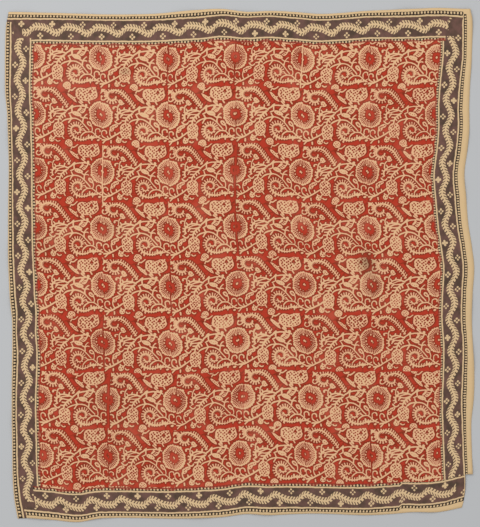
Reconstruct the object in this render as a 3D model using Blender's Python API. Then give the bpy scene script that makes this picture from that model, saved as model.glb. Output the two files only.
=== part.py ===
# A square block-printed cotton cloth lying flat, seen from above with its top edge towards +Y.
# It is one piece of cloth, so it is one solid: the hems, and the unprinted selvedge strip down its
# right side, are folds and edges of the same cloth. Metres, +Z up, underside on z = 0.

import math

import bpy

MM = 0.001

# Driving sizes
PANEL_WIDTH = 911 * MM      # printed cloth, left edge to the inside of the selvedge strip
PANEL_LENGTH = 1016 * MM    # top edge to bottom edge
THICKNESS = 1.2 * MM
STRIP_END = 954 * MM        # the selvedge strip is cut off this far down, and leaves a notch
STRIP_SHARE = 0.02          # the strip's columns run from a share across of 1 to 1.02
COLUMNS = 31                # mesh cells across the printed cloth
ROWS = 36                   # mesh cells down the strip, which the notch ends on a row
ROWS_BELOW_NOTCH = 3

# The cloth was pulled out of square by its hems. Each edge is a soft line through a few bends.
# Columns in mm: along, how far from the top left corner the bend is, and out, how far the edge
# lies outside the straight edge of the panel there.
TOP_EDGE = (
    # along, out
    (3, -3), (46, -4), (94, -5), (194, -8), (290, -7), (338, -3), (382, 1), (430, 3),
    (478, -3), (526, -1), (574, -3), (622, -7), (670, -5), (718, -1), (814, 3), (862, 5),
    (911, 3),
)
BOTTOM_EDGE = (
    # along, out
    (21, 0), (46, -1), (94, 3), (142, 7), (190, -1), (338, 0), (386, -1), (430, -3),
    (478, -9), (526, -7), (574, -9), (622, -10), (718, -7), (766, -9), (814, -13),
    (862, -13), (909, -22),
)
LEFT_EDGE = (
    # along, out
    (3, -3), (40, 3), (160, 4), (210, 0), (300, -3), (400, -2), (490, -2), (570, -5),
    (625, -10), (780, -9), (860, -10), (930, -11), (975, -14), (1016, -21),
)
RIGHT_EDGE = (
    # along, out
    (0, 2), (91, 2), (139, -3), (187, -7), (235, -7), (279, -11), (327, -17), (379, -13),
    (427, -9), (471, -2), (515, 3), (567, 0), (615, -1), (667, 3), (723, 2), (775, 0),
    (827, 1), (879, 3), (953, 5), (979, 2), (994, -2),
)
# How far the unprinted selvedge strip stands out past the printed panel
STRIP_WIDTH = (
    # along, width
    (0, 13), (19, 17), (91, 16), (139, 18), (187, 20), (471, 20), (615, 19), (667, 17),
    (723, 21), (775, 22), (827, 16), (940, 15),
)

# Cockles: the hems are a little longer than the cloth beside them, so the rim ripples off the table
COCKLE_HEIGHT = 2.6 * MM
COCKLE_REACH = 70 * MM      # how far in from an edge the ripple dies out
COCKLE_PITCH = 128 * MM


def soft_value(table, along):
    """The value of a two-column table at a place along, on a smooth curve through its rows (metres)."""
    along = min(max(along / MM, table[0][0]), table[-1][0])
    row = max(i for i in range(len(table) - 1) if table[i][0] <= along or i == 0)
    before, (x0, y0), (x1, y1), after = (
        table[max(row - 1, 0)], table[row], table[row + 1], table[min(row + 2, len(table) - 1)])
    span = x1 - x0
    slope0 = (y1 - before[1]) / (x1 - before[0])
    slope1 = (after[1] - y0) / (after[0] - x0)
    f = (along - x0) / span
    rise = 3 * f ** 2 - 2 * f ** 3
    bend = slope0 * span * (f - 2 * f ** 2 + f ** 3) + slope1 * span * (f ** 3 - f ** 2)
    return (y0 + (y1 - y0) * rise + bend) * MM


def corner(along_x, along_y):
    """The cloth's own corner, where two edge tables meet."""
    left_side = along_x < PANEL_WIDTH / 2
    upper_side = along_y < PANEL_LENGTH / 2
    if left_side:
        x = -soft_value(LEFT_EDGE, along_y)
    else:
        x = PANEL_WIDTH + soft_value(RIGHT_EDGE, along_y)
    if upper_side:
        y = -soft_value(TOP_EDGE, along_x)
    else:
        y = PANEL_LENGTH + soft_value(BOTTOM_EDGE, along_x)
    return x, y


TOP_LEFT = corner(0, 0)
TOP_RIGHT = corner(PANEL_WIDTH, 0)
BOTTOM_LEFT = corner(0, PANEL_LENGTH)
BOTTOM_RIGHT = corner(PANEL_WIDTH, PANEL_LENGTH)


def mix(a, b, f):
    return a + (b - a) * f


def panel_point(across, down):
    """A point of the printed panel, from its shares across and down: x right and y down, metres."""
    top_x = mix(TOP_LEFT[0], TOP_RIGHT[0], across)
    top_y = -soft_value(TOP_EDGE, top_x)
    bottom_x = mix(BOTTOM_LEFT[0], BOTTOM_RIGHT[0], across)
    bottom_y = PANEL_LENGTH + soft_value(BOTTOM_EDGE, bottom_x)
    left_y = mix(TOP_LEFT[1], BOTTOM_LEFT[1], down)
    left_x = -soft_value(LEFT_EDGE, left_y)
    right_y = mix(TOP_RIGHT[1], BOTTOM_RIGHT[1], down)
    right_x = PANEL_WIDTH + soft_value(RIGHT_EDGE, right_y)
    straight = [
        mix(mix(TOP_LEFT[i], TOP_RIGHT[i], across), mix(BOTTOM_LEFT[i], BOTTOM_RIGHT[i], across), down)
        for i in (0, 1)]
    x = mix(top_x, bottom_x, down) + mix(left_x, right_x, across) - straight[0]
    y = mix(top_y, bottom_y, down) + mix(left_y, right_y, across) - straight[1]
    return x, y


def cloth_point(across, down):
    """As panel_point, and past a share of 1 across it runs on over the selvedge strip."""
    x, y = panel_point(min(across, 1), down)
    if across > 1:
        x += (across - 1) / STRIP_SHARE * soft_value(STRIP_WIDTH, y)
    return x, y


def ripple(x, y):
    """How far the cloth's underside stands off the table: nothing in the middle, a ripple at the rim."""
    rim = min(x, PANEL_WIDTH - x, y, PANEL_LENGTH - y)
    share = min(max(1 - rim / COCKLE_REACH, 0), 1) ** 2
    wave = math.sin(2 * math.pi * (x + 0.35 * y) / COCKLE_PITCH) * math.cos(
        2 * math.pi * (y - 0.2 * x) / (1.3 * COCKLE_PITCH))
    return COCKLE_HEIGHT * share * max(wave, 0)


def shares():
    """The shares across and down at which the mesh has its columns and rows."""
    across = [i / COLUMNS for i in range(COLUMNS + 1)] + [1 + STRIP_SHARE]
    notch = STRIP_END / PANEL_LENGTH
    down = [notch * j / ROWS for j in range(ROWS + 1)]
    down += [notch + (1 - notch) * j / ROWS_BELOW_NOTCH for j in range(1, ROWS_BELOW_NOTCH + 1)]
    return across, down


def make_cloth():
    across, down = shares()
    points = {}
    for i, u in enumerate(across):
        for j, v in enumerate(down):
            if u <= 1 or j <= ROWS:
                points[i, j] = cloth_point(u, v)
    middle_x = (min(p[0] for p in points.values()) + max(p[0] for p in points.values())) / 2
    middle_y = (min(p[1] for p in points.values()) + max(p[1] for p in points.values())) / 2

    index = {key: n for n, key in enumerate(points)}
    count = len(points)
    under = [(x - middle_x, middle_y - y, ripple(x, y)) for x, y in points.values()]
    over = [(x, y, z + THICKNESS) for x, y, z in under]

    faces = []
    rim = {}
    for i, j in points:
        cell = [(i, j), (i, j + 1), (i + 1, j + 1), (i + 1, j)]
        if not all(key in index for key in cell):
            continue
        ring = [index[key] for key in cell]
        faces.append([n + count for n in ring])
        faces.append(ring[::-1])
        for a, b in zip(ring, ring[1:] + ring[:1]):
            if (b, a) in rim:
                del rim[b, a]
            else:
                rim[a, b] = True
    faces += [[a, b, b + count, a + count] for a, b in rim]

    mesh = bpy.data.meshes.new("cloth")
    mesh.from_pydata(under + over, [], faces)
    mesh.shade_smooth()
    mesh.set_sharp_from_angle(angle=math.radians(40))
    cloth = bpy.data.objects.new("cloth", mesh)
    bpy.context.scene.collection.objects.link(cloth)
    mesh.materials.append(printed_cotton())
    return cloth


def printed_cotton():
    """Red block-printed cotton, as one average colour."""
    material = bpy.data.materials.new("printed_cotton")
    material.use_nodes = True
    shader = material.node_tree.nodes["Principled BSDF"]
    shader.inputs["Base Color"].default_value = (0.50, 0.17, 0.095, 1)
    shader.inputs["Roughness"].default_value = 0.9
    shader.inputs["Metallic"].default_value = 0
    return material


for old in list(bpy.data.objects):
    bpy.data.objects.remove(old)
make_cloth()
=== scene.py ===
# A block-printed cotton cloth laid out flat, seen from straight above. Metres, +Z up.
import math
from functools import partial

import bpy
import numpy as np
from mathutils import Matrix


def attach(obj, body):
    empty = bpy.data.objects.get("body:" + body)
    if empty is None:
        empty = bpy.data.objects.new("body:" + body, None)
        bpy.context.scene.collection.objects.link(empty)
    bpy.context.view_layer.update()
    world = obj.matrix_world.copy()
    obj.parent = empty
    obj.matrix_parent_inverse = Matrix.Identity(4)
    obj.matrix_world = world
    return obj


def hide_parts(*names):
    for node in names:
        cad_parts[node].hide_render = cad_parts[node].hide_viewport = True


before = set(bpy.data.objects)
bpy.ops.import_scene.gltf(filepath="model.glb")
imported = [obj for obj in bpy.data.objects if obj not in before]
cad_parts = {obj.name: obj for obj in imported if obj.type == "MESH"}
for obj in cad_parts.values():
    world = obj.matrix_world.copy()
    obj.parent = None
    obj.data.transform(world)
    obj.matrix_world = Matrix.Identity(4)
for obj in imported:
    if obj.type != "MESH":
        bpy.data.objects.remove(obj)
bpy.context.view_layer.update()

mm = 0.001

# The plan is the cloth before it was pulled out of square, in mm: across from the printed outer line
# on the left, and down from the outer line at the top. The print is laid out on the plan.
plan = {
    "lineWidth": 894,        # between the outer lines, left to right
    "lineLength": 984,       # between the outer lines, top to bottom
    "leftHem": 10,
    "topHem": 13,
    "bottomHem": 13,
    "rightMargin": 2,        # cloth past the right outer line, below the notch
    "strip": 19,             # dotted row and unprinted selvedge, above the notch
    "stripEnd": 934,         # how far down the strip is cut off
}
clothEdge = plan["lineWidth"] + plan["rightMargin"]

# The outline, as on the solid. Columns in mm: along from the top left corner, and how far out
# the edge lies from the straight edge of the panel.
panel = {"width": 911, "length": 1016}
topEdge = [
    (3, -3), (46, -4), (94, -5), (194, -8), (290, -7), (338, -3), (382, 1), (430, 3),
    (478, -3), (526, -1), (574, -3), (622, -7), (670, -5), (718, -1), (814, 3), (862, 5),
    (911, 3),
]
bottomEdge = [
    (21, 0), (46, -1), (94, 3), (142, 7), (190, -1), (338, 0), (386, -1), (430, -3),
    (478, -9), (526, -7), (574, -9), (622, -10), (718, -7), (766, -9), (814, -13),
    (862, -13), (909, -22),
]
leftEdge = [
    (3, -3), (40, 3), (160, 4), (210, 0), (300, -3), (400, -2), (490, -2), (570, -5),
    (625, -10), (780, -9), (860, -10), (930, -11), (975, -14), (1016, -21),
]
rightEdge = [
    (0, 2), (91, 2), (139, -3), (187, -7), (235, -7), (279, -11), (327, -17), (379, -13),
    (427, -9), (471, -2), (515, 3), (567, 0), (615, -1), (667, 3), (723, 2), (775, 0),
    (827, 1), (879, 3), (953, 5), (979, 2), (994, -2),
]
stripWidth = [
    (0, 13), (19, 17), (91, 16), (139, 18), (187, 20), (471, 20), (615, 19), (667, 17),
    (723, 21), (775, 22), (827, 16), (933, 15),
]
# How far in from the edge the printed outer line runs, because the hems were not turned evenly
topInset = [
    (3, 14), (94, 12), (194, 11), (290, 12), (382, 15), (430, 12), (502, 10), (574, 12),
    (718, 12), (766, 14), (862, 15), (911, 16),
]
bottomInset = [
    (21, 15), (94, 14), (142, 12), (190, 11), (290, 11), (430, 13), (526, 14), (622, 11),
    (766, 14), (814, 10), (862, 14), (909, 18),
]
leftInset = [
    (0, 6), (60, 11), (210, 8), (256, 7), (400, 9), (587, 11), (639, 8), (683, 11),
    (779, 9), (920, 10), (1016, 13),
]
# Cockles, as on the solid, and the cloth's own soft unevenness, in mm
surface = {
    "cockleHeight": 2.6, "cockleReach": 70, "cocklePitch": 128,
    "slant": 0.35,           # how far the cockles slant along the sides
    "crossSlant": 0.2, "crossPitch": 1.3,      # and across them, in pitches
    "cloth": 0.8,            # thickness of the single cloth
    "hem": 1.5,              # thickness of the turned hems
    "selvedge": 1.0,
    "sway": 0.35,            # how far the cloth's face is from truly flat
    "fineSway": 0.6,         # the share of it in its finer waves
    "leastSway": -0.3,
    "rimRound": 0.3,         # how far the cut edge is drawn in from both faces, of its thickness
}


def softValue(table, along):
    # a smooth curve through the table's rows, held level past its ends
    along = min(max(along, table[0][0]), table[-1][0])
    row = max(i for i in range(len(table) - 1) if table[i][0] <= along or i == 0)
    before, (x0, y0), (x1, y1), after = (
        table[max(row - 1, 0)], table[row], table[row + 1], table[min(row + 2, len(table) - 1)])
    span = x1 - x0
    slope0 = (y1 - before[1]) / (x1 - before[0])
    slope1 = (after[1] - y0) / (after[0] - x0)
    f = (along - x0) / span
    rise = 3 * f ** 2 - 2 * f ** 3
    bend = slope0 * span * (f - 2 * f ** 2 + f ** 3) + slope1 * span * (f ** 3 - f ** 2)
    return y0 + (y1 - y0) * rise + bend


def mix(a, b, f):
    return a + (b - a) * f


def corner(alongX, alongY):
    # the cloth's own corner, where two edge tables meet
    upperSide = alongY < panel["length"] / 2
    if alongX < panel["width"] / 2:
        x = -softValue(leftEdge, alongY)
    else:
        x = panel["width"] + softValue(rightEdge, alongY)
    y = -softValue(topEdge, alongX) if upperSide else panel["length"] + softValue(bottomEdge, alongX)
    return x, y


topLeft = corner(0, 0)
topRight = corner(panel["width"], 0)
bottomLeft = corner(0, panel["length"])
bottomRight = corner(panel["width"], panel["length"])


def panelPoint(across, down):
    # from shares across and down to a place on the laid-out cloth: x right and y down
    topX = mix(topLeft[0], topRight[0], across)
    topY = -softValue(topEdge, topX)
    bottomX = mix(bottomLeft[0], bottomRight[0], across)
    bottomY = panel["length"] + softValue(bottomEdge, bottomX)
    leftY = mix(topLeft[1], bottomLeft[1], down)
    leftX = -softValue(leftEdge, leftY)
    rightY = mix(topRight[1], bottomRight[1], down)
    rightX = panel["width"] + softValue(rightEdge, rightY)
    straight = [
        mix(mix(topLeft[i], topRight[i], across), mix(bottomLeft[i], bottomRight[i], across), down)
        for i in (0, 1)]
    x = mix(topX, bottomX, down) + mix(leftX, rightX, across) - straight[0]
    y = mix(topY, bottomY, down) + mix(leftY, rightY, across) - straight[1]
    return x, y


def panelShare(place, length, hem, margin, start, end):
    # a place's share of the panel: start and end are the shares of its outer lines
    if place < 0:
        return start * (1 + place / hem)
    if place <= length:
        return mix(start, end, place / length)
    return mix(end, 1, min((place - length) / margin, 1))


def planPoint(a, d):
    # from the plan to a place on the laid-out cloth, through the printed outer lines
    left = softValue(leftInset, d + plan["topHem"]) / panel["width"]
    right = 1 - plan["rightMargin"] / panel["width"]
    top = softValue(topInset, a + plan["leftHem"]) / panel["length"]
    bottom = 1 - softValue(bottomInset, a + plan["leftHem"]) / panel["length"]
    across = panelShare(a, plan["lineWidth"], plan["leftHem"], plan["rightMargin"], left, right)
    down = panelShare(d, plan["lineLength"], plan["topHem"], plan["bottomHem"], top, bottom)
    x, y = panelPoint(across, down)
    if a > clothEdge:
        x += (a - clothEdge) / plan["strip"] * softValue(stripWidth, y)
    return x, y


def ripple(x, y):
    # how far the rim stands off the floor, as on the solid
    rim = min(x, panel["width"] - x, y, panel["length"] - y)
    share = min(max(1 - rim / surface["cockleReach"], 0), 1) ** 2
    pitch = surface["cocklePitch"]
    wave = math.sin(2 * math.pi * (x + surface["slant"] * y) / pitch) * math.cos(
        2 * math.pi * (y - surface["crossSlant"] * x) / (surface["crossPitch"] * pitch))
    return surface["cockleHeight"] * share * max(wave, 0)


# The cloth

mesh = {
    "pitch": 6.0,            # mm between the mesh's columns, and its rows, over the field
    "bandSteps": 8,          # columns or rows over a border band
    "hemSteps": 3,
    "wall": 0.02,            # any thickness, for the time until the vertices are laid
}
field = {"left": 46.5, "right": 848, "top": 51, "bottom": 934}      # the red print, on the plan


def steps(start, end, count):
    return [mix(start, end, i / count) for i in range(count)]


def planLines():
    # where the mesh has its columns and rows, on the plan
    fieldColumns = round((field["right"] - field["left"]) / mesh["pitch"])
    fieldRows = round((field["bottom"] - field["top"]) / mesh["pitch"])
    columns = steps(-plan["leftHem"], 0, mesh["hemSteps"])
    columns += steps(0, field["left"], mesh["bandSteps"])
    columns += steps(field["left"], field["right"], fieldColumns)
    columns += steps(field["right"], plan["lineWidth"], mesh["bandSteps"]) + [plan["lineWidth"]]
    columns += steps(clothEdge, clothEdge + plan["strip"], mesh["hemSteps"])
    columns += [clothEdge + plan["strip"]]
    rows = steps(-plan["topHem"], 0, mesh["hemSteps"])
    rows += steps(0, field["top"], mesh["bandSteps"])
    rows += steps(field["top"], field["bottom"], fieldRows)
    rows += steps(field["bottom"], plan["lineLength"], mesh["bandSteps"])
    rows += steps(plan["lineLength"], plan["lineLength"] + plan["bottomHem"], mesh["hemSteps"])
    rows += [plan["lineLength"] + plan["bottomHem"]]
    return columns, rows


def thicknessAt(a, d):
    # the turned hems are three layers, and the selvedge is woven a little closer
    if a < 0 or d < 0 or d > plan["lineLength"]:
        return surface["hem"]
    if a > plan["lineWidth"]:
        return surface["selvedge"]
    return surface["cloth"]


def sway(x, y):
    # long, low unevenness of cloth that has been folded away and laid out again, in waves of some mm
    broad = math.sin(x / 83 + 0.6 * math.sin(y / 140)) * math.cos(y / 97 - x / 260)
    fine = math.sin((x - y) / 61 + 1.3) * math.sin((x + 2 * y) / 210)
    return max(surface["sway"] * (broad + surface["fineSway"] * fine), surface["leastSway"])


def makeCloth():
    columns, rows = planLines()
    bpy.ops.object.select_all(action="DESELECT")
    bpy.ops.mesh.primitive_grid_add(
        x_subdivisions=len(columns) - 1, y_subdivisions=len(rows) - 1, size=1)
    cloth = bpy.context.object
    cloth.name = cloth.data.name = "printedCloth"

    # the grid's vertices run along each row in turn, from its lowest row up
    across = len(columns)
    places = [(columns[n % across], rows[-1 - n // across]) for n in range(len(cloth.data.vertices))]

    # below the notch there is no selvedge strip
    bpy.ops.object.mode_set(mode="EDIT")
    bpy.ops.mesh.select_mode(type="FACE")
    bpy.ops.mesh.select_all(action="DESELECT")
    bpy.ops.object.mode_set(mode="OBJECT")
    for face in cloth.data.polygons:
        a = sum(places[v][0] for v in face.vertices) / len(face.vertices)
        d = sum(places[v][1] for v in face.vertices) / len(face.vertices)
        face.select = a > clothEdge and d > plan["stripEnd"]
    bpy.ops.object.mode_set(mode="EDIT")
    bpy.ops.mesh.delete(type="FACE")
    bpy.ops.object.mode_set(mode="OBJECT")
    near = 0.01
    places = [(a, d) for a, d in places if a <= clothEdge + near or d <= plan["stripEnd"] + near]

    laid = [planPoint(a, d) for a, d in places]
    middleX = (min(p[0] for p in laid) + max(p[0] for p in laid)) / 2
    middleY = (min(p[1] for p in laid) + max(p[1] for p in laid)) / 2

    # a solidified sheet repeats the sheet's vertices in their order, and the cut edge joins the two
    bpy.ops.object.modifier_add(type="SOLIDIFY")
    cloth.modifiers[-1].thickness = mesh["wall"]
    bpy.ops.object.modifier_apply(modifier=cloth.modifiers[-1].name)
    count = len(places)
    rim = set()
    for link in cloth.data.edges:
        if abs(link.vertices[0] - link.vertices[1]) == count:
            rim.update(link.vertices)
    upper = cloth.data.vertices[0].co.z > cloth.data.vertices[count].co.z
    points = np.zeros((2 * count, 3))
    for n, (x, y) in enumerate(laid):
        under = ripple(x, y)
        over = under + thicknessAt(*places[n]) + sway(x, y)
        if n in rim:
            under, over = mix(under, over, surface["rimRound"]), mix(over, under, surface["rimRound"])
        for m, z in ((n, over if upper else under), (n + count, under if upper else over)):
            points[m] = (x - middleX) * mm, (middleY - y) * mm, z * mm
    cloth.data.vertices.foreach_set("co", points.ravel())
    cloth.data.update()
    bpy.ops.object.shade_smooth()
    print("cloth:", len(cloth.data.polygons), "faces, middle at", round(middleX, 1), round(middleY, 1))
    return cloth, places + places


cloth, places = makeCloth()


# Node helpers. Nodes are added in the order in which they are worked out.

def addNode(kind, values=(), tree=None, **settings):
    # a socket is linked and a plain value is set, input by input, in the first socket's own tree
    if tree is None:
        tree = next(v for v in values if isinstance(v, bpy.types.NodeSocket)).id_data
    node = tree.nodes.new(kind)
    for name, setting in settings.items():
        setattr(node, name, setting)
    for slot, value in zip(node.inputs, values):
        if isinstance(value, bpy.types.NodeSocket):
            tree.links.new(value, slot)
        elif value is not None:
            slot.default_value = value
    return node


def calc(operation, *values):
    return addNode("ShaderNodeMath", values, operation=operation).outputs[0]


def vectorCalc(operation, *values):
    node = addNode("ShaderNodeVectorMath", values, operation=operation)
    return node.outputs[1 if operation in ("DOT_PRODUCT", "DISTANCE", "LENGTH") else 0]


plus = partial(calc, "ADD")
minus = partial(calc, "SUBTRACT")
times = partial(calc, "MULTIPLY")
timesPlus = partial(calc, "MULTIPLY_ADD")
larger = partial(calc, "MAXIMUM")
smaller = partial(calc, "MINIMUM")
absolute = partial(calc, "ABSOLUTE")
lengthOf = partial(vectorCalc, "LENGTH")


def joined(x, y, z=0):
    return addNode("ShaderNodeCombineXYZ", (x, y, z)).outputs[0]


def parts(value):
    return addNode("ShaderNodeSeparateXYZ", (value,)).outputs


def noise(place, scale, roughness=0.6, detail=1.0):
    return addNode("ShaderNodeTexNoise", (place, None, scale, detail, roughness)).outputs


def ramp(value, start, end, last=1, **settings):
    return addNode("ShaderNodeMapRange", (value, start, end, 0, last), **settings).outputs[0]


def zigzag(value, count):
    # how far the value is from the nearest of so many marks, at most 0.5
    return calc("PINGPONG", times(value, count), 0.5)


def numberChance(number):
    return addNode("ShaderNodeTexWhiteNoise", (None, number), noise_dimensions="1D").outputs[0]


def mixColour(share, *colours):
    colours = [c if isinstance(c, bpy.types.NodeSocket) else (*c, 1) for c in colours]
    unused = [None] * 5
    return addNode("ShaderNodeMix", [share, *unused, *colours], data_type="RGBA").outputs[2]


def ownPlace(place, origin, turn=0, size=(1, 1)):
    # a motif's own coordinates: from its origin, turned with it, in its own sizes
    c, s = math.cos(math.radians(turn)), math.sin(math.radians(turn))
    own = []
    for (x, y), unit in (((c, s), size[0]), ((-s, c), size[1])):
        value = vectorCalc("DOT_PRODUCT", place, (x / unit, y / unit, 0))
        own.append(minus(value, (origin[0] * x + origin[1] * y) / unit))
    return own


def softCurve(value, points):
    node = addNode("ShaderNodeFloatCurve", (1, value))
    node.mapping.extend = "HORIZONTAL"
    curve = node.mapping.curves[0]
    for n, (x, y) in enumerate(points):
        if n < 2:
            curve.points[n].location = (x, y)
        else:
            curve.points.new(x, y)
    node.mapping.update()
    return node.outputs[0]


def attribute(tree, name, output="Fac"):
    return addNode("ShaderNodeAttribute", tree=tree, attribute_name=name).outputs[output]


def newMaterial(name):
    material = bpy.data.materials.new(name)
    material.use_nodes = True
    return material, material.node_tree


def openGroup(name):
    tree = bpy.data.node_groups.new(name, "ShaderNodeTree")
    tree.interface.new_socket("Place", in_out="INPUT", socket_type="NodeSocketVector")
    tree.interface.new_socket("Cream", in_out="INPUT", socket_type="NodeSocketFloat")
    tree.interface.new_socket("Cream", in_out="OUTPUT", socket_type="NodeSocketFloat")
    return tree.nodes.new("NodeGroupInput").outputs[:2]


def closeGroup(cream):
    return addNode("NodeGroupOutput", (cream,)).id_data


def useGroup(group, place, cream):
    return addNode("ShaderNodeGroup", (place, cream), node_tree=group).outputs[0]


# Strokes. Each gives the mm from a place to the nearest edge of the cream, more than 0 inside it.

strokes = {
    "roundEnd": 0.5, "longestEnd": 0.12,     # how long the round ends are: in half widths, and in lengths
    "steepest": 1.2,         # the steepest slope that a stem is widened for
    "room": 1.05,            # how far a curl's own map reaches past its largest radius
}


def strokeBody(along, off, length, half, widths, teeth):
    # along runs from 0 to 1, and off is the mm from the stroke's middle line. Teeth stand on both
    # sides of it: as far as their reach where off is more than 0, and as far as inner on the other side.
    widest = half * max(f for u, f in widths)
    end = min(strokes["roundEnd"] * half / length, strokes["longestEnd"])
    profile = [(0, 0)]
    profile += [(mix(end, 1 - end, u), (half * f + 1) / (widest + 1)) for u, f in widths]
    share = softCurve(along, profile + [(1, 0)])
    distance = absolute(off)
    cream = minus(timesPlus(share, widest + 1, -1), distance)
    if teeth:
        count, pitch, tooth, reach, inner, lean, club = teeth
        comb = timesPlus(distance, lean / pitch, times(along, count))
        tooth = timesPlus(calc("PINGPONG", comb, 0.5), -pitch, timesPlus(distance, club, tooth))
        outerTip = minus(timesPlus(share, reach + 1, -1), off)
        innerTip = plus(timesPlus(share, inner + 1, -1), off)
        cream = larger(cream, smaller(tooth, smaller(outerTip, innerTip)))
    return cream


def stem(place, half, points, teeth=None, taper=(1, 0.8)):
    # a stroke on a soft curve through its points, which all run onward from the first to the last
    (x0, y0), (x1, y1) = points[0], points[-1]
    length = math.dist(points[0], points[-1])
    turn = math.atan2(y1 - y0, x1 - x0)
    c, s = math.cos(turn), math.sin(turn)
    along = [((x - x0) * c + (y - y0) * s) / length for x, y in points]
    aside = [(y - y0) * c - (x - x0) * s for x, y in points]
    bow = max(map(abs, aside)) + 1
    share, off = ownPlace(place, (x0 + s * bow, y0 - c * bow), math.degrees(turn), (length, 1))
    middle = softCurve(share, [(u, (v + bow) / (2 * bow)) for u, v in zip(along, aside)])
    off = timesPlus(middle, -2 * bow, off)
    slopes = np.gradient(aside, np.array(along) * length)
    widths = [
        (u, mix(*taper, u) * math.hypot(1, min(abs(slope), strokes["steepest"])))
        for u, slope in zip(along, slopes)]
    return strokeBody(share, off, length, half, widths, teeth)


def curl(place, half, centre, radii, teeth=None, taper=(1, 0.8)):
    # a stroke round a centre, through radii at rising angles, all within one turn
    start, end = radii[0][0], radii[-1][0]
    span = math.radians(end - start)
    widest = max(r for angle, r in radii) * strokes["room"]
    x, y = ownPlace(place, centre, start - 180)
    along = timesPlus(calc("ARCTAN2", y, x), 1 / span, math.pi / span)
    radius = vectorCalc("DISTANCE", place, (*centre, 0))
    shares = [((angle - start) / (end - start), r / widest) for angle, r in radii]
    off = timesPlus(softCurve(along, shares), -widest, radius)
    length = span * sum(r for angle, r in radii) / len(radii)
    widths = [(u, mix(*taper, u)) for u, r in shares]
    return strokeBody(along, off, length, half, widths, teeth)


def tick(place, start, end, half):
    # a short straight stroke with round ends
    run = (end[0] - start[0], end[1] - start[1])
    middle = ((start[0] + end[0]) / 2, (start[1] + end[1]) / 2)
    x, y = ownPlace(place, middle, math.degrees(math.atan2(run[1], run[0])))
    beyond = minus(absolute(x), math.hypot(*run) / 2)
    own = joined(larger(beyond, 0), y)
    return minus(half, lengthOf(own))


def dot(place, centre, radius):
    return minus(radius, vectorCalc("DISTANCE", place, (*centre, 0)))


def leaf(place, centre, halves, turn=0):
    own = joined(*ownPlace(place, centre, turn, halves))
    small = min(halves)
    return timesPlus(lengthOf(own), -small, small)


netting = {"rim": 1.5, "turn": 38, "loose": 0.4}


def net(place, pitch, hole, ovals):
    # ovals of cream, pierced by a loose lattice of dots but for their rim
    outline = None
    for centre, halves in ovals:
        oval = leaf(place, centre, halves)
        outline = oval if outline is None else larger(outline, oval)
    aslant = joined(*ownPlace(place, (0, 0), netting["turn"]))
    cells = addNode("ShaderNodeTexVoronoi", (aslant, None, 1 / pitch, 0), voronoi_dimensions="2D")
    cells.inputs["Randomness"].default_value = netting["loose"]
    holes = timesPlus(cells.outputs["Distance"], pitch, -hole)
    holes = larger(holes, minus(netting["rim"], outline))
    return smaller(outline, holes)


# Teeth, in mm: how many and how far apart, their half width, how far they reach on a stroke's outer
# and inner side, how they lean along it, and how they thicken towards their tips
hookTeeth = (11, 3.9, 0.85, 7.4, 3.8, 0, 0)
fernTeeth = (11.6, 4.9, 0.85, 8.2, 6.8, 0.2, 0.05)
frondTeeth = (4.4, 4.6, 1.05, 5.4, 2.6, 0, 0)
coilTeeth = (5, 3.7, 0.9, 3.8, 1.0, 0, 0)
spiralTeeth = (14.5, 3.8, 0.85, 7.4, 3.6, 0, 0)
fruitTeeth = (9.6, 5, 1.1, 6.4, 3.6, -0.2, 0)

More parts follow.
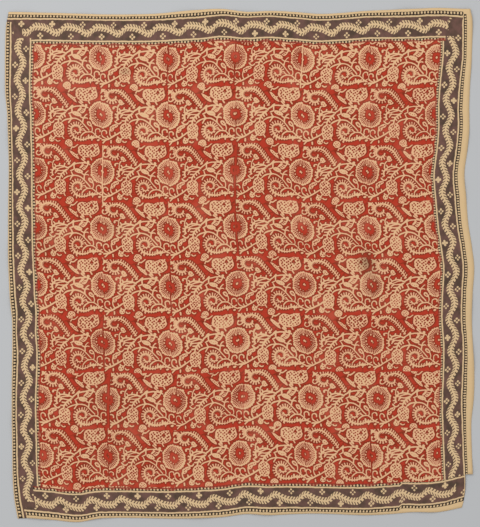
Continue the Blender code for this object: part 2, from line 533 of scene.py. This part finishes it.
# The field's block: 133 mm wide and 113.5 mm high, from the middle of its left roundel, y up.
# Each motif lists its cream strokes by kind, with what the kind's function takes in its order, in mm and
# degrees. The holes are the red dots cut into a motif: place and radius.
blockMotifs = {
    "fern": {
        curl: [(1.6, (22.5, 39.5), [(70, 10.2), (120, 9.2), (180, 9.3), (235, 9.2), (275, 9.6), (325, 10.4)],
                hookTeeth)],
        stem: [(1.6, [(23, 49.6), (31, 49.6), (38, 47.4), (45, 42.6), (52, 35), (58, 27.8), (63.4, 21),
                (68.4, 14.4)], fernTeeth, (1, 0.65))],
        tick: [((30, 33), (30.6, 37), 1.5)],
    },
    "fern twigs": {
        stem: [(1.5, [(-4, 55.4), (0, 54.6), (4, 51)]), (1.4, [(6, 49.4), (10, 46.6), (15, 44.6)]),
            (1.3, [(7.6, 40), (10, 40.8), (13.4, 40.4)])],
        dot: [((4.2, 50), 3.4), ((2.4, 38.2), 1.9)],
        tick: [((7, 50), (9.6, 53.4), 1.2), ((2.8, 48), (0.2, 44.6), 1.3)],
        curl: [(1.25, (5.2, 34.8), [(125, 4.2), (180, 4.6), (270, 4.4), (345, 5), (390, 5.6), (425, 6)])],
    },
    "trefoil": {
        leaf: [((40.6, 26), (6, 4.4), -62), ((42.4, 23.4), (5, 2.8), 8)],
        stem: [(1.35, [(37.4, 22), (33.8, 17.6), (32.8, 12.6), (33.6, 7)]),
            (1.4, [(23.2, 14.4), (26.6, 17.2), (31.8, 16.6)])],
        dot: [((25, 14), 1.9)],
    },
    "upper frond": {
        stem: [(1.6, [(66, 5.6), (58, 9.2), (50, 10.9), (42, 9.9), (37.2, 6.6)]),
            (1.3, [(57, 8.6), (50, 7.4), (45, 5.6), (40, 4), (35, 3)])],
        curl: [(1.9, (42, -2.6), [(105, 9.8), (150, 10), (190, 9.6), (224, 9.6)], frondTeeth)],
        tick: [((56.6, 10), (57.6, 15.2), 1.45), ((46, 11), (47.4, 14.8), 1.45),
            ((39.4, 9.4), (36.6, 13.2), 1.35), ((42, 4), (43.4, 0.4), 1.1)],
    },
    "lower frond": {
        stem: [(1.3, [(62, 3), (56, 1.6), (50, 1.2), (44, 1.6), (38.6, 0)]),
            (1.8, [(63.4, 4.4), (57, 0), (51.6, -5), (48.8, -10), (47.4, -17.4)])],
        tick: [((59, 1.4), (61.8, -4.4), 1.5), ((54.4, -2.2), (57, -7), 1.5),
            ((50.4, -6.6), (53.6, -11.2), 1.45), ((50.4, -4.6), (44.2, -4.6), 1.4),
            ((48.4, -10.6), (41.4, -11), 1.4), ((42, 0.6), (38.8, -4), 1.3)],
        curl: [(1.6, (34, -11.6), [(171, 6.5), (217, 5), (275, 5.4), (327, 5.5), (352, 5.6)])],
    },
    "pod": {
        stem: [(1.7, [(77.6, 19), (76.2, 12), (76.6, 5)])],
        tick: [((75.4, 16.4), (69.8, 10.6), 1.3), ((69.4, 1.6), (76.4, 5), 1.3)],
        leaf: [((85.6, 1), (9.2, 4.3), -20)],
        dot: [((65.4, 15.2), 1.9)],
    },
    "top stem": {
        stem: [(1.5, [(64, 6.6), (70, 11), (78, 14.8), (87, 16.2), (96, 16.2), (104, 14.6), (111.2, 10.4)]),
            (1.6, [(106, 16), (103, 10.6), (100, 6), (96, 3.2)])],
        leaf: [((91.4, 9.8), (6.2, 2.2), 40), ((95.6, 25.6), (5, 2), -50)],
        tick: [((99, 18.6), (92, 14), 1.1), ((96, 3.2), (92.8, 5.2), 1.25),
            ((101.6, 9.6), (97.4, 10.4), 1.1), ((98.8, 5.8), (95.4, 7.6), 1.1)],
        dot: [((104.6, 17.4), 3)],
    },
    "arched stem": {
        stem: [(1.4, [(54, -16.4), (60, -11.8), (66, -9.5), (74, -8), (80, -8), (86, -9.5), (92, -13),
                (98, -19), (104, -26), (110, -32.4)]),
            (1.4, [(97, -17), (97.6, -11.5), (98.8, -6.8), (102, -2.4), (106.4, 0.4)]),
            (1.25, [(99, -8.2), (103, -7.4), (107, -9.2)])],
        dot: [((74.4, -7.8), 2.4)],
        tick: [((74, -7), (71.4, -0.8), 1.35), ((73, -9.6), (68.6, -16.4), 1.35),
            ((92.4, -5), (98, -8.4), 1.3)],
    },
    "eye leaf": {
        leaf: [((110, -19.4), (6.4, 3.9), -45)],
        stem: [(1.2, [(113, -22), (115.4, -26.5), (115.6, -31.5), (113.6, -35.4)])],
    },
    "seam curls": {
        curl: [(1.3, (126.4, -33.6), [(-28, 5), (40, 4.9), (90, 4.7), (150, 4.8), (190, 4.9), (230, 6.6)]),
            (1.3, (5.6, -34.6), [(-28, 4.5), (60, 4.8), (120, 5), (180, 4.9), (232, 6.6)])],
        tick: [((122.2, -38.4), (121, -41.6), 1.2), ((127, -45.4), (131.4, -42.6), 1.15),
            ((126, -46), (134, -49), 1.35)],
        leaf: [((127.6, -51.8), (3, 2), 15)],
        stem: [(1.35, [(1.4, -39.6), (4, -43.2), (8, -45.6), (13, -47.4)])],
    },
    "spiral": {
        curl: [(1.4, (84, -32), [(162, 3.2), (215, 3.6), (270, 4.2), (321, 6.2), (375, 7.8)], coilTeeth),
            (1.6, (84, -32), [(-5, 7.4), (41, 9.2), (72, 10), (106, 10.9), (135, 11.3), (195, 11.4),
                (228, 12.2), (254, 14.6), (270, 17)], spiralTeeth)],
    },
    "fruit arm": {
        stem: [(1.7, [(77, -43.4), (84, -47.8), (91, -49.8), (98, -50), (104, -48.8), (110, -46.8),
                (118, -46.6), (126, -45.8)], fruitTeeth, (1, 0.6)),
            (1.35, [(91.5, -46), (94, -41.5), (98, -37.8), (103, -35.2), (108, -34.6), (113, -35.2),
                (118, -38.6), (122, -42.4), (127, -45.6)]),
            (1.25, [(98.4, -28.4), (100.4, -31.6), (104, -34)])],
        leaf: [((114, -46.6), (7, 2.7))],
        tick: [((115, -48), (114, -51.4), 1.3), ((107.4, -46), (107.8, -41.6), 1.6)],
    },
    "berry net": {
        net: [(4.5, 1.5, [((48.6, -26), (11.4, 10.6)), ((48.8, -36), (10.8, 9.8))])],
        curl: [(1.2, (46.6, -49.4), [(185, 4.2), (270, 4.2), (335, 4.4)])],
        tick: [((42.4, -43), (38.4, -47.6), 1.2), ((55.4, -43.6), (58.4, -48), 1.2)],
    },
    "lower stem": {
        stem: [(1.7, [(-2, -49.2), (5, -49), (11, -48.4), (16, -46.2), (22, -42.8), (29, -39), (35, -35.2),
                (40, -32)])],
        tick: [((8.4, -49.6), (3, -55.4), 1.4), ((18.8, -50.8), (19, -54.6), 1.5),
            ((28.2, -38.6), (27.2, -34.4), 1.25), ((14, -46), (11.6, -41.6), 1.25),
            ((33.6, -45.6), (32.6, -43.2), 1.4)],
        dot: [((34.4, -49.8), 5.5)],
    },
    "bud leaf": {
        leaf: [((26.6, -21.6), (6.8, 3.7), 14), ((21.6, -28), (5, 3.3), 48), ((19.4, -25), (3.6, 2.8), 60)],
        stem: [(1.25, [(20, -42.8), (17.4, -38.8), (16.4, -33), (17.8, -27)])],
    },
    "berry flower": {
        net: [(3.8, 1.0, [((68.2, 56.8), (7.6, 7.2)), ((68.2, -56.7), (7.6, 7.2))])],
        stem: [(1.35, [(72, 49.6), (77, 48.4), (81, 50.8), (86, 55.4)])],
        tick: [((72.4, 48.6), (70.4, 44.6), 1.2), ((80, 33), (83.6, 33.4), 1.1)],
        leaf: [((77.4, 32.8), (13, 2.9), -43)],
    },
    "crescent": {
        net: [(4.9, 1.6, [((106, 39.4), (22, 13)), ((94, 45.4), (9.4, 7.6)), ((117, 45.6), (9.6, 9.2))])],
        stem: [(1.4, [(90.4, 25.4), (95, 20.8), (100.4, 16)])],
        tick: [((124.4, 57.6), (123.6, 53.2), 1.4), ((110, 26), (112.4, 21.6), 1.3)],
    },
}
blockHoles = {
    "trefoil": [(40.4, 27.2, 1.0), (43.2, 24.4, 0.9), (39, 23.6, 0.8)],
    "pod": [(81.4, 2.4, 0.6), (85.6, 0.2, 0.6), (89.4, 0, 0.6)],
    "eye leaf": [(108.9, -18.5, 1.3), (111, -20.6, 1.3)],
    "bud leaf": [(20.4, -25.6, 1.4), (22.8, -23.4, 1.3), (26, -22.4, 1.2), (29.4, -20.8, 1.1),
            (21.4, -29.4, 1.3)],
    "lower stem": [(34.8, -47.2, 1.2), (37, -51, 1.2), (32, -51.2, 1.0)],
    "berry flower": [(73.4, 36.4, 0.8), (76.4, 33.6, 0.9), (79.6, 30.8, 0.9), (82.6, 28, 0.7)],
    "crescent": [(113.4, 45, 2.8), (105, 55.4, 4.6), (82, 33, 3)],
}


def motifGroup(name, marks, holes):
    # a motif's cream strokes, less its red dots, joined to the cream drawn before it
    place, before = openGroup(name)
    cream = None
    for draw, rows in marks.items():
        for row in rows:
            mark = draw(place, *row)
            cream = mark if cream is None else larger(cream, mark)
    for x, y, radius in holes:
        gap = vectorCalc("DISTANCE", place, (x, y, 0))
        cream = smaller(cream, minus(gap, radius))
    return closeGroup(larger(cream, before))


roundel = {
    "outer": 24.8, "beads": 27, "scallop": 2.4, "worn": 2.2,      # the cream ring's edge
    "inner": 20.2,                   # and its inner side, on fine spokes
    "spokes": 36, "spoke": 0.72, "spokeStart": 13.4, "spokeMiddle": 17,
    "pearls": 13, "pearlRing": 11.3, "pearl": 0.5, "pearlMore": 1.5,
    "middle": 1.9, "squash": 0.89,
    "clear": 0.6,                    # the red left around it
}


def roundelGroup():
    # a red core with a cream dot, a ring of pearls, a spoked red ring and a beaded cream ring
    place, before = openGroup("roundel")
    split = parts(place)
    half = blockLay["width"] / 2
    x = calc("WRAP", split[0], half, -half)
    y = times(split[1], roundel["squash"])
    radius = lengthOf(joined(x, y))
    turns = times(calc("ARCTAN2", y, x), 1 / (2 * math.pi))
    worn = numberChance(calc("FLOOR", timesPlus(turns, roundel["beads"], 0.5)))
    outer = timesPlus(zigzag(turns, roundel["beads"]), -roundel["scallop"], roundel["outer"])
    outer = minus(timesPlus(worn, -roundel["worn"], outer), radius)
    pitch = 2 * math.pi * roundel["spokeMiddle"] / roundel["spokes"]
    spoke = timesPlus(zigzag(turns, roundel["spokes"]), -pitch, roundel["spoke"])
    spoke = smaller(spoke, minus(radius, roundel["spokeStart"]))
    cream = smaller(outer, larger(minus(radius, roundel["inner"]), spoke))
    step = times(turns, roundel["pearls"])
    chance = numberChance(calc("FLOOR", step))
    pitch = 2 * math.pi * roundel["pearlRing"] / roundel["pearls"]
    aside = timesPlus(calc("FRACT", step), pitch, -pitch / 2)
    pearl = joined(aside, minus(radius, roundel["pearlRing"]))
    size = timesPlus(chance, roundel["pearlMore"], roundel["pearl"])
    cream = larger(cream, minus(size, lengthOf(pearl)))
    cream = larger(cream, minus(roundel["middle"], radius))
    # nothing else of the block shows inside the roundel
    hidden = minus(radius, roundel["outer"] + roundel["clear"])
    return closeGroup(larger(cream, smaller(before, hidden)))


def blockGroup():
    place, cream = openGroup("block")
    for name, marks in blockMotifs.items():
        cream = useGroup(motifGroup(name, marks, blockHoles.get(name, [])), place, cream)
    return closeGroup(useGroup(roundelGroup(), place, cream))


# The field. Its rows of blocks were set down by hand, left to right, each row on its own line.

blockLay = {
    "width": 133, "height": 113.5, "top": 26,
    "lowest": -59.5,         # the block's lower edge, from its roundels' middles
    "slip": 1.6,             # how far a single block may be off its row's line, all told
}
# In mm on the plan: where each row of blocks starts, and the distance that was left from block to block
blockRows = [
    # start, pitch
    (45, 133), (46, 134.3), (48, 134.2), (45.5, 134.4), (43.2, 133.9), (38.7, 134.9), (48.7, 135.9),
    (50.7, 131.7), (47, 133),
]
# The seams between the columns, row by row: 1 is printed twice, all red, and -1 is a bare cream line
blockSeams = [
    [-0.5, 0, -1, 0, 0, 0.6, 1, 0.4, 0.4],
    [0.5, 0, 0.3, 0.2, 0.6, 0, 0.2, 0, 0],
    [0.5, 0.3, 1, 0.8, 0, -0.4, 0.3, 0, 0],
    [-1, 0.2, 0, 0, 0, 0, 0, 0.1, 0],
    [0.3, 0, -0.4, 0, 0, 0, 0, 0.5, 0.5],
]
blockDrops = [-5, -2, 1, 0, 2, 5, 4]       # how far down each column of blocks slipped
# How a seam shows: its half width for 1 in the table of seams, less what it takes to show at all
seamInk = {
    "red": 4.2, "redLess": 0.8, "bare": 3.1, "bareLess": 2,
    "drift": 0.014, "chance": 0.5,             # its own chances come and go along it
    "rowChance": 1.6, "rowLess": 0.7,          # between the rows there are only chances
}
# Linear colours, and the print's wear in mm. Each roughness of the edge has its own scale.
fieldInk = {
    "red": (0.420, 0.038, 0.018), "rim": (0.205, 0.027, 0.009), "pale": (0.560, 0.170, 0.100),
    "cream": (0.680, 0.440, 0.238), "edge": (0.785, 0.365, 0.218),
    "soft": 0.4,             # mm over which cream turns to red
    "rimEnd": (-0.9, -2.4), "edgeEnd": (0.1, 1),          # where the rim and the pink edge fade out
    "dryFrom": 0.52, "dryTo": 0.8, "dry": 0.35,
    "wobble": 2.6, "wobbleScale": 0.06, "uneven": 0.9, "unevenScale": 0.02,
    "ragged": 1.1, "raggedScale": 0.3, "blocks": 0.35,
}

wear = {
    "dirt": (0.050, 0.040, 0.018), "faded": (0.640, 0.400, 0.290), "wrongSide": -0.45,
    "rough": 0.92, "shine": 0.12,
}
# Where the cloth is soiled or faded, or darker along a faint line: the place on the plan, how far it
# reaches, and how much
soilSpots = [
    # across, down, half width, half height, amount
    (703, 491, 15, 20, 0.5), (714, 535, 13, 34, 0.2), (227, 103, 12, 8, 0.4),
    (197, 417, 20, 14, 0.15), (70, 452, 26, 36, 0.12), (187, 760, 60, 120, 0.08),
    # the long, thin spot at 451 across darkens a faint line from the top down to the middle
    (451, 330, 5, 240, 0.14), (120, 120, 150, 100, -0.05),
]


def soilAt(a, d):
    return sum(
        amount * math.exp(-((a - x) / wide) ** 2 - ((d - y) / high) ** 2)
        for x, y, wide, high, amount in soilSpots)


def printPlace(tree):
    # the plan in mm, from the piece's own map
    uv = addNode("ShaderNodeUVMap", tree=tree, uv_map="printMap").outputs[0]
    return vectorCalc("MULTIPLY", uv, (1 / mm, 1 / mm, 0))


def softEdge(value, soft):
    return ramp(value, -soft, soft, interpolation_type="SMOOTHSTEP")


def centred(chance, reach):
    return vectorCalc("MULTIPLY_ADD", chance, (reach, reach, 0), (-reach / 2, -reach / 2, 0))


def wobbly(place, scale, reach):
    # a place pushed about by soft noise, as far as half its reach each way
    push = centred(noise(place, scale, 0.5)["Color"], reach)
    return vectorCalc("ADD", place, push)


def lookUp(number, values):
    # a table's value at a whole number
    low, high, last = min(values), max(values), len(values) - 1
    points = [(n / last, (value - low) / (high - low)) for n, value in enumerate(values)]
    share = softCurve(times(number, 1 / last), points)
    return timesPlus(share, high - low, low)


def blockPlace(place):
    # the place inside its own block, the block's chances, the mm to the nearest seam between columns,
    # how red that seam is, and the mm to the nearest seam between rows
    split = parts(place)
    height = blockLay["height"]
    level = timesPlus(split[1], -1 / height, -blockLay["top"] / height)
    row = calc("FLOOR", level)
    for again in range(2):
        start = lookUp(row, [r[0] for r in blockRows])
        pitch = lookUp(row, [r[1] for r in blockRows])
        share = calc("DIVIDE", minus(split[0], start), pitch)
        column = calc("FLOOR", share)
        if again == 0:
            drop = lookUp(column, blockDrops)
            level = timesPlus(drop, -1 / height, level)
            row = calc("FLOOR", level)
    x = times(calc("FRACT", share), pitch)
    y = timesPlus(calc("FRACT", level), -height, height + blockLay["lowest"])
    chance = addNode("ShaderNodeTexWhiteNoise", (joined(column, row),)).outputs["Color"]
    slip = centred(chance, blockLay["slip"])
    inBlock = vectorCalc("ADD", joined(x, y), slip)
    across = smaller(x, minus(pitch, x))
    nearest = calc("ROUND", share)
    seam = None
    for n, values in enumerate(blockSeams):
        here = times(calc("COMPARE", nearest, n + 1, 0.5), lookUp(row, values))
        seam = here if seam is None else plus(seam, here)
    fromMiddle = absolute(minus(y, blockLay["lowest"] + height / 2))
    return inBlock, chance, across, seam, minus(height / 2, fromMiddle)


def makeFieldMaterial():
    material, tree = newMaterial("printedField")
    place = printPlace(tree)
    laid = wobbly(place, fieldInk["wobbleScale"], fieldInk["wobble"])
    inBlock, chance, across, seam, along = blockPlace(laid)
    nothing = -5
    cream = useGroup(blockGroup(), inBlock, nothing)

    # where blocks meet, the ink ran together or left a bare line
    drift = parts(noise(place, seamInk["drift"], 0.5)["Color"])
    seam = plus(seam, timesPlus(drift[0], seamInk["chance"], -seamInk["chance"] / 2))
    level = timesPlus(drift[1], seamInk["rowChance"], -seamInk["rowLess"])
    for edge, run in ((across, seam), (along, level)):
        strip = timesPlus(run, seamInk["red"], -seamInk["redLess"])
        cream = smaller(cream, minus(edge, strip))
        bare = timesPlus(run, -seamInk["bare"], -seamInk["bareLess"])
        cream = larger(cream, minus(bare, edge))

    # the ink spread more in some places than in others, and its edges are ragged
    uneven = noise(place, fieldInk["unevenScale"])[0]
    ragged = noise(place, fieldInk["raggedScale"])[0]
    spread = ((parts(chance)[2], "blocks"), (uneven, "uneven"), (ragged, "ragged"))
    for value, kind in spread:
        cream = timesPlus(value, fieldInk[kind], cream)
    cream = minus(cream, sum(fieldInk[kind] for value, kind in spread) / 2)
    soft = fieldInk["soft"]
    share = softEdge(cream, soft)

    # the red is darkest along its edges, and the cream is pink beside it
    dry = ramp(uneven, fieldInk["dryFrom"], fieldInk["dryTo"], fieldInk["dry"])
    red = mixColour(ramp(cream, *fieldInk["rimEnd"]), fieldInk["rim"], fieldInk["red"])
    red = mixColour(dry, red, fieldInk["pale"])
    pale = mixColour(ramp(cream, *fieldInk["edgeEnd"]), fieldInk["edge"], fieldInk["cream"])
    finishCloth(mixColour(share, red, pale))
    return material


def finishCloth(colour):
    # soiled, faded and wrong sides, and the faint darker line, are on the piece's own soil map: more than 0
    # darker, less than 0 pale
    tree = colour.id_data
    soil = attribute(tree, "soil")
    for amount, kind in ((soil, "dirt"), (times(soil, -1), "faded")):
        colour = mixColour(larger(amount, 0), colour, wear[kind])
    shader = tree.nodes["Principled BSDF"]
    tree.links.new(colour, shader.inputs["Base Color"])
    shader.inputs["Roughness"].default_value = wear["rough"]
    shader.inputs["Specular IOR Level"].default_value = wear["shine"]


# The border. Each band is laid from its own first flower: where that is and the flowers' pitch on
# the plan, where its vine starts and ends, how wide it is from outer to inner line, whether its
# waves fall back slowly, and the dotted rows' pitch. The vine's ticks point on along the band, or back.
bandKeys = ("first", "pitch", "from", "to", "wide", "steep", "point", "dots")
bandRows = {
    "top": (81.8, 60.6, 23, 866, 43, 1, 1, 6.5),
    "right": (43.7, 63.8, 41, 938, 39, 0, -1, 5.3),
    "bottom": (28, 61.8, 23, 877, 42, 1, 1, 6.8),
    "left": (91.6, 63.7, 38, 966, 39, 0, -1, 6.2),
}
bands = {name: dict(zip(bandKeys, row)) for name, row in bandRows.items()}
border = {
    "repeat": 62, "wide": 41,          # one wave, and the band from line to line, on the border's own map
    "line": 1.5,                       # half the width of the cream lines
    "sway": 6.0, "start": 29, "steepLag": 0.24, "lag": -0.04,                # the vine's waves
    "tick": 5.8, "tickHalf": 1.75, "lean": 0.6, "core": 1.6, "reach": 7.0,   # and its ticks
    "petal": 1.7, "petalMore": 0.8, "petalOut": 3.8,      # the flowers' petals, from their middle
    "blot": 8, "blotLess": 0.6,                           # and some flowers run to a blot
    "dotRow": 5.0, "outerRow": 0.4, "innerRow": 0.6,      # how far the dotted rows lie from their line
    "dot": 1.75, "dotPitch": 6.2, "dotSquash": 0.8, "hemLine": 3.2,
    "ground": (0.078, 0.050, 0.035), "bloom": (0.150, 0.078, 0.062), "cream": (0.640, 0.455, 0.255),
    "hem": (0.630, 0.445, 0.240), "overprint": (0.300, 0.040, 0.024), "dotGround": (0.034, 0.024, 0.018),
    "wobble": 1.8, "wobbleScale": 0.08, "ragged": 1.2, "raggedScale": 0.25,
    "patchScale": 0.045, "patchDetail": 2.0, "patches": (0.35, 0.65),
    "rowGround": (-1, 2), "hemEdge": (-0.5, 0.5),         # mm over which grounds change
    "over": (47.5, 49), "overPatch": 5, "overMost": 0.75,
}
# The flowers, outer and inner: along from the first one, back in a steep band, and in from the line
flowers = [(0, 0, 9.8), (31, 7, 32.2)]
bottomStep = {"from": 766, "up": 5.0}  # the bottom band's last block was set down this much too high
# Where the bands give way to each other at the corners, in mm on the plan
bandEnds = {
    "top": 6.3, "bottom": 6, "side": 5.8,      # the outer lines, with their cream
    "above": -4.4,                             # where the top's outer dots reach past its line
    "topWide": 38, "topEnd": 866, "rightWide": 34, "leftWide": 29, "leftFoot": 40.6, "sideEnd": 936,
}
pastTop = -12                          # how far out of the top band the strip beside it lies


def bandOf(a, d):
    # the band that a place on the plan belongs to, or None in the field
    width, length = plan["lineWidth"], plan["lineLength"]
    if field["left"] < a < field["right"] and field["top"] < d < field["bottom"]:
        return None
    if d < bandEnds["top"]:
        return "right" if a > width and d > bandEnds["above"] else "top"
    if d > length - bandEnds["bottom"]:
        return "left" if a < bandEnds["side"] else "bottom"
    if a < bandEnds["side"]:
        return "left"
    if a > width - bandEnds["side"]:
        return "right" if d < bandEnds["sideEnd"] or a > width else "bottom"
    if d < bandEnds["topWide"] and a < bandEnds["topEnd"]:
        return "top"
    if a > width - bandEnds["rightWide"] and d < bandEnds["sideEnd"]:
        return "right"
    if a < bandEnds["leftWide"] or (a < bandEnds["leftFoot"] and d < bandEnds["sideEnd"]):
        return "left"
    if d > field["bottom"]:
        return "bottom"
    if d > field["top"] and not field["left"] <= a <= field["right"]:
        return "left" if a < field["left"] else "right"
    return "top"


def bandPlace(name, a, d):
    # on the border's own map: along the band from a flower, in from the outer line, and from the vine's end
    band = bands[name]
    along = a if name in ("top", "bottom") else d
    inward = {"top": d, "bottom": plan["lineLength"] - d, "left": a, "right": plan["lineWidth"] - a}[name]
    if name == "bottom" and a > bottomStep["from"]:
        inward -= bottomStep["up"]
    if name == "top" and a > plan["lineWidth"]:
        inward = pastTop
    s = (along - band["first"]) * border["repeat"] / band["pitch"] * (-1 if name == "bottom" else 1)
    if inward > band["wide"]:
        t = border["wide"] + inward - band["wide"]
    else:
        t = inward * (border["wide"] / band["wide"] if inward > 0 else 1)
    return s, t, min(along - band["from"], band["to"] - along)


def borderPrint(s, t, vineEnd, steep, point, dots):
    # the band's cream, in mm inside its edge
    line = minus(border["line"], absolute(t))
    inner = absolute(minus(t, border["wide"]))
    cream = larger(line, minus(border["line"], inner))

    # the vine: a wave of herringbone ticks with a solid middle
    repeat = border["repeat"]
    wave = calc("FRACT", timesPlus(s, 1 / repeat, -border["start"] / repeat))
    lag = timesPlus(steep, border["steepLag"], border["lag"])
    lag = times(calc("SINE", times(wave, math.pi)), lag)
    swing = calc("COSINE", times(minus(wave, lag), 2 * math.pi))
    middle = timesPlus(swing, -border["sway"], border["wide"] / 2)
    off = absolute(minus(t, middle))
    comb = zigzag(timesPlus(off, point, s), 1 / border["tick"])
    ticks = timesPlus(comb, -border["tick"], border["tickHalf"])
    ticks = smaller(ticks, minus(border["reach"], off))
    vine = larger(ticks, minus(border["core"], off))
    cream = larger(cream, smaller(vine, vineEnd))

    # four-petalled flowers in the bends, outer and inner
    for shift, lean, height in flowers:
        along = minus(timesPlus(steep, -lean, s), shift)
        number = calc("FLOOR", timesPlus(along, 1 / repeat, 0.5))
        number = joined(number, height, plus(steep, point))
        chance = addNode("ShaderNodeTexWhiteNoise", (number,)).outputs[0]
        along = absolute(calc("WRAP", along, repeat / 2, -repeat / 2))
        across = absolute(minus(t, height))
        petal = joined(larger(along, across), smaller(along, across))
        size = timesPlus(chance, border["petalMore"], border["petal"])
        blot = timesPlus(chance, border["blot"], -border["blotLess"] * border["blot"])
        blot = minus(blot, lengthOf(petal))
        cream = larger(cream, blot)
        petal = vectorCalc("DISTANCE", petal, (border["petalOut"], 0, 0))
        cream = larger(cream, minus(size, petal))

    # a row of dots outside the outer line, and one inside the inner line
    dots = times(calc("PINGPONG", dots, 0.5), border["dotPitch"])
    for height in (-border["dotRow"] - border["outerRow"],
                   border["wide"] + border["dotRow"] - border["innerRow"]):
        across = times(minus(t, height), border["dotSquash"])
        bead = lengthOf(joined(dots, across))
        cream = larger(cream, minus(border["dot"], bead))
    hem = minus(-border["dotRow"] - border["hemLine"], t)
    return larger(cream, hem), hem


def makeBorderMaterial():
    material, tree = newMaterial("printedBorder")
    place = printPlace(tree)
    s, t = parts(wobbly(place, border["wobbleScale"], border["wobble"]))[:2]
    vineEnd, steep, point = parts(attribute(tree, "band", "Vector"))
    cream, hem = borderPrint(s, t, times(vineEnd, 1 / mm), steep, point, attribute(tree, "dots"))
    ragged = timesPlus(
        noise(place, border["raggedScale"])[0], border["ragged"], -border["ragged"] / 2)
    soft = fieldInk["soft"]
    share = softEdge(plus(cream, ragged), soft)

    # the ground is mottled, and darkest under the dotted rows
    patchy = noise(place, border["patchScale"], detail=border["patchDetail"])[0]
    patchy = ramp(patchy, *border["patches"])
    ground = mixColour(patchy, border["ground"], border["bloom"])
    half = border["wide"] / 2
    outside = ramp(absolute(minus(t, half)), *(half + edge for edge in border["rowGround"]))
    ground = mixColour(outside, ground, border["dotGround"])
    pale = mixColour(ramp(hem, *border["hemEdge"]), border["cream"], border["hem"])
    # the field's red was printed last, and runs over the inner row of dots here and there
    over = timesPlus(patchy, border["overPatch"], t)
    over = ramp(over, *border["over"], border["overMost"])
    finishCloth(mixColour(over, mixColour(share, ground, pale), border["overprint"]))
    return material


# A flat picture of the print holds both faces in one square, the printed face larger
bakeMap = {"front": (0.004, 0.756), "back": (0.764, 0.996), "rim": 0.004, "edge": 0.8}


def mapCloth(cloth, places):
    # printMap holds each corner's place on the plan, or along its band, in metres with y up
    data = cloth.data
    data.uv_layers.new(name="printMap")
    data.uv_layers.new(name="OFBake")
    data.attributes.new("band", "FLOAT_VECTOR", "CORNER")
    data.attributes.new("dots", "FLOAT", "CORNER")
    data.attributes.new("soil", "FLOAT", "CORNER")
    uv, flat = np.zeros((len(data.loops), 2)), np.zeros((len(data.loops), 2))
    ends, dots, soil = np.zeros((len(data.loops), 3)), np.zeros(len(data.loops)), np.zeros(len(data.loops))
    left, right = min(a for a, d in places), max(a for a, d in places)
    top, bottom = min(d for a, d in places), max(d for a, d in places)
    rim = bakeMap["rim"]
    for face in data.polygons:
        corners = [places[v] for v in face.vertices]
        heights = [data.vertices[v].co.z for v in face.vertices]
        name = bandOf(
            sum(a for a, d in corners) / len(corners), sum(d for a, d in corners) / len(corners))
        face.material_index = 0 if name is None else 1
        side = "front" if face.normal.z > -0.5 else "back"
        wall = abs(face.normal.z) < 0.5
        for n, z, (a, d) in zip(face.loop_indices, heights, corners):
            soil[n] = soilAt(a, d) + (0 if side == "front" else wear["wrongSide"])
            u = mix(*bakeMap[side], (a - left) / (right - left))
            w = mix(1 - rim, rim, (d - top) / (bottom - top))
            if wall and z < sum(heights) / len(heights):
                # the cut edges lie just outside the printed face
                u += bakeMap["edge"] * rim * face.normal.x
                w += bakeMap["edge"] * rim * face.normal.y
            flat[n] = u, w
            if name is None:
                uv[n] = a * mm, -d * mm
            else:
                s, t, end = bandPlace(name, a, d)
                uv[n] = s * mm, t * mm
                dots[n] = (a if name in ("top", "bottom") else d) / bands[name]["dots"]
                ends[n] = end * mm, bands[name]["steep"], border["lean"] * bands[name]["point"]
    data.uv_layers["printMap"].data.foreach_set("uv", uv.ravel())
    data.uv_layers["OFBake"].data.foreach_set("uv", flat.ravel())
    data.attributes["band"].data.foreach_set("vector", ends.ravel())
    data.attributes["dots"].data.foreach_set("value", dots)
    data.attributes["soil"].data.foreach_set("value", soil)


while cloth.data.uv_layers:
    cloth.data.uv_layers.remove(cloth.data.uv_layers[0])
cloth.data.materials.append(makeFieldMaterial())
cloth.data.materials.append(makeBorderMaterial())
mapCloth(cloth, places)
print("print:", len(bpy.data.node_groups), "node groups")


# The floor, the light and the camera

studio = {
    "height": 3.5, "tall": 1.054,        # the camera's height, and how much it sees at the floor
    "aimX": 0.7, "aimY": 3,              # mm
    "floor": (0.467, 0.476, 0.485), "floorSize": 6, "below": 0.0003,
    "lampPlace": (-1.2, 1.6, 2.6), "lampTurn": (-0.55, -0.42, 0), "lampSize": 2.5,
    "lampPower": 46.8, "sky": 0.78, "film": 36,
}
bpy.context.scene.view_settings.view_transform = "Standard"
bpy.ops.object.select_all(action="DESELECT")
bpy.ops.mesh.primitive_plane_add(size=studio["floorSize"], location=(0, 0, -studio["below"]))
floor = bpy.context.object
floor.name = "floor"
paper, paperTree = newMaterial("backdrop")
shader = paperTree.nodes["Principled BSDF"]
shader.inputs["Base Color"].default_value = (*studio["floor"], 1)
shader.inputs["Roughness"].default_value = 1
shader.inputs["Specular IOR Level"].default_value = 0
floor.data.materials.append(paper)
bpy.ops.object.light_add(type="AREA", location=studio["lampPlace"])
lamp = bpy.context.object
lamp.data.energy = studio["lampPower"]
lamp.data.size = studio["lampSize"]
lamp.rotation_euler = studio["lampTurn"]
world = bpy.data.worlds.new("studio")
bpy.context.scene.world = world
world.use_nodes = True
sky = world.node_tree.nodes["Background"]
sky.inputs[0].default_value = (1, 1, 1, 1)
sky.inputs[1].default_value = studio["sky"]
bpy.ops.object.camera_add(location=(studio["aimX"] * mm, studio["aimY"] * mm, studio["height"]))
camera = bpy.context.object
camera.data.lens = studio["film"] * studio["height"] / studio["tall"]
bpy.context.scene.camera = camera

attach(cloth, "root")
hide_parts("cloth")
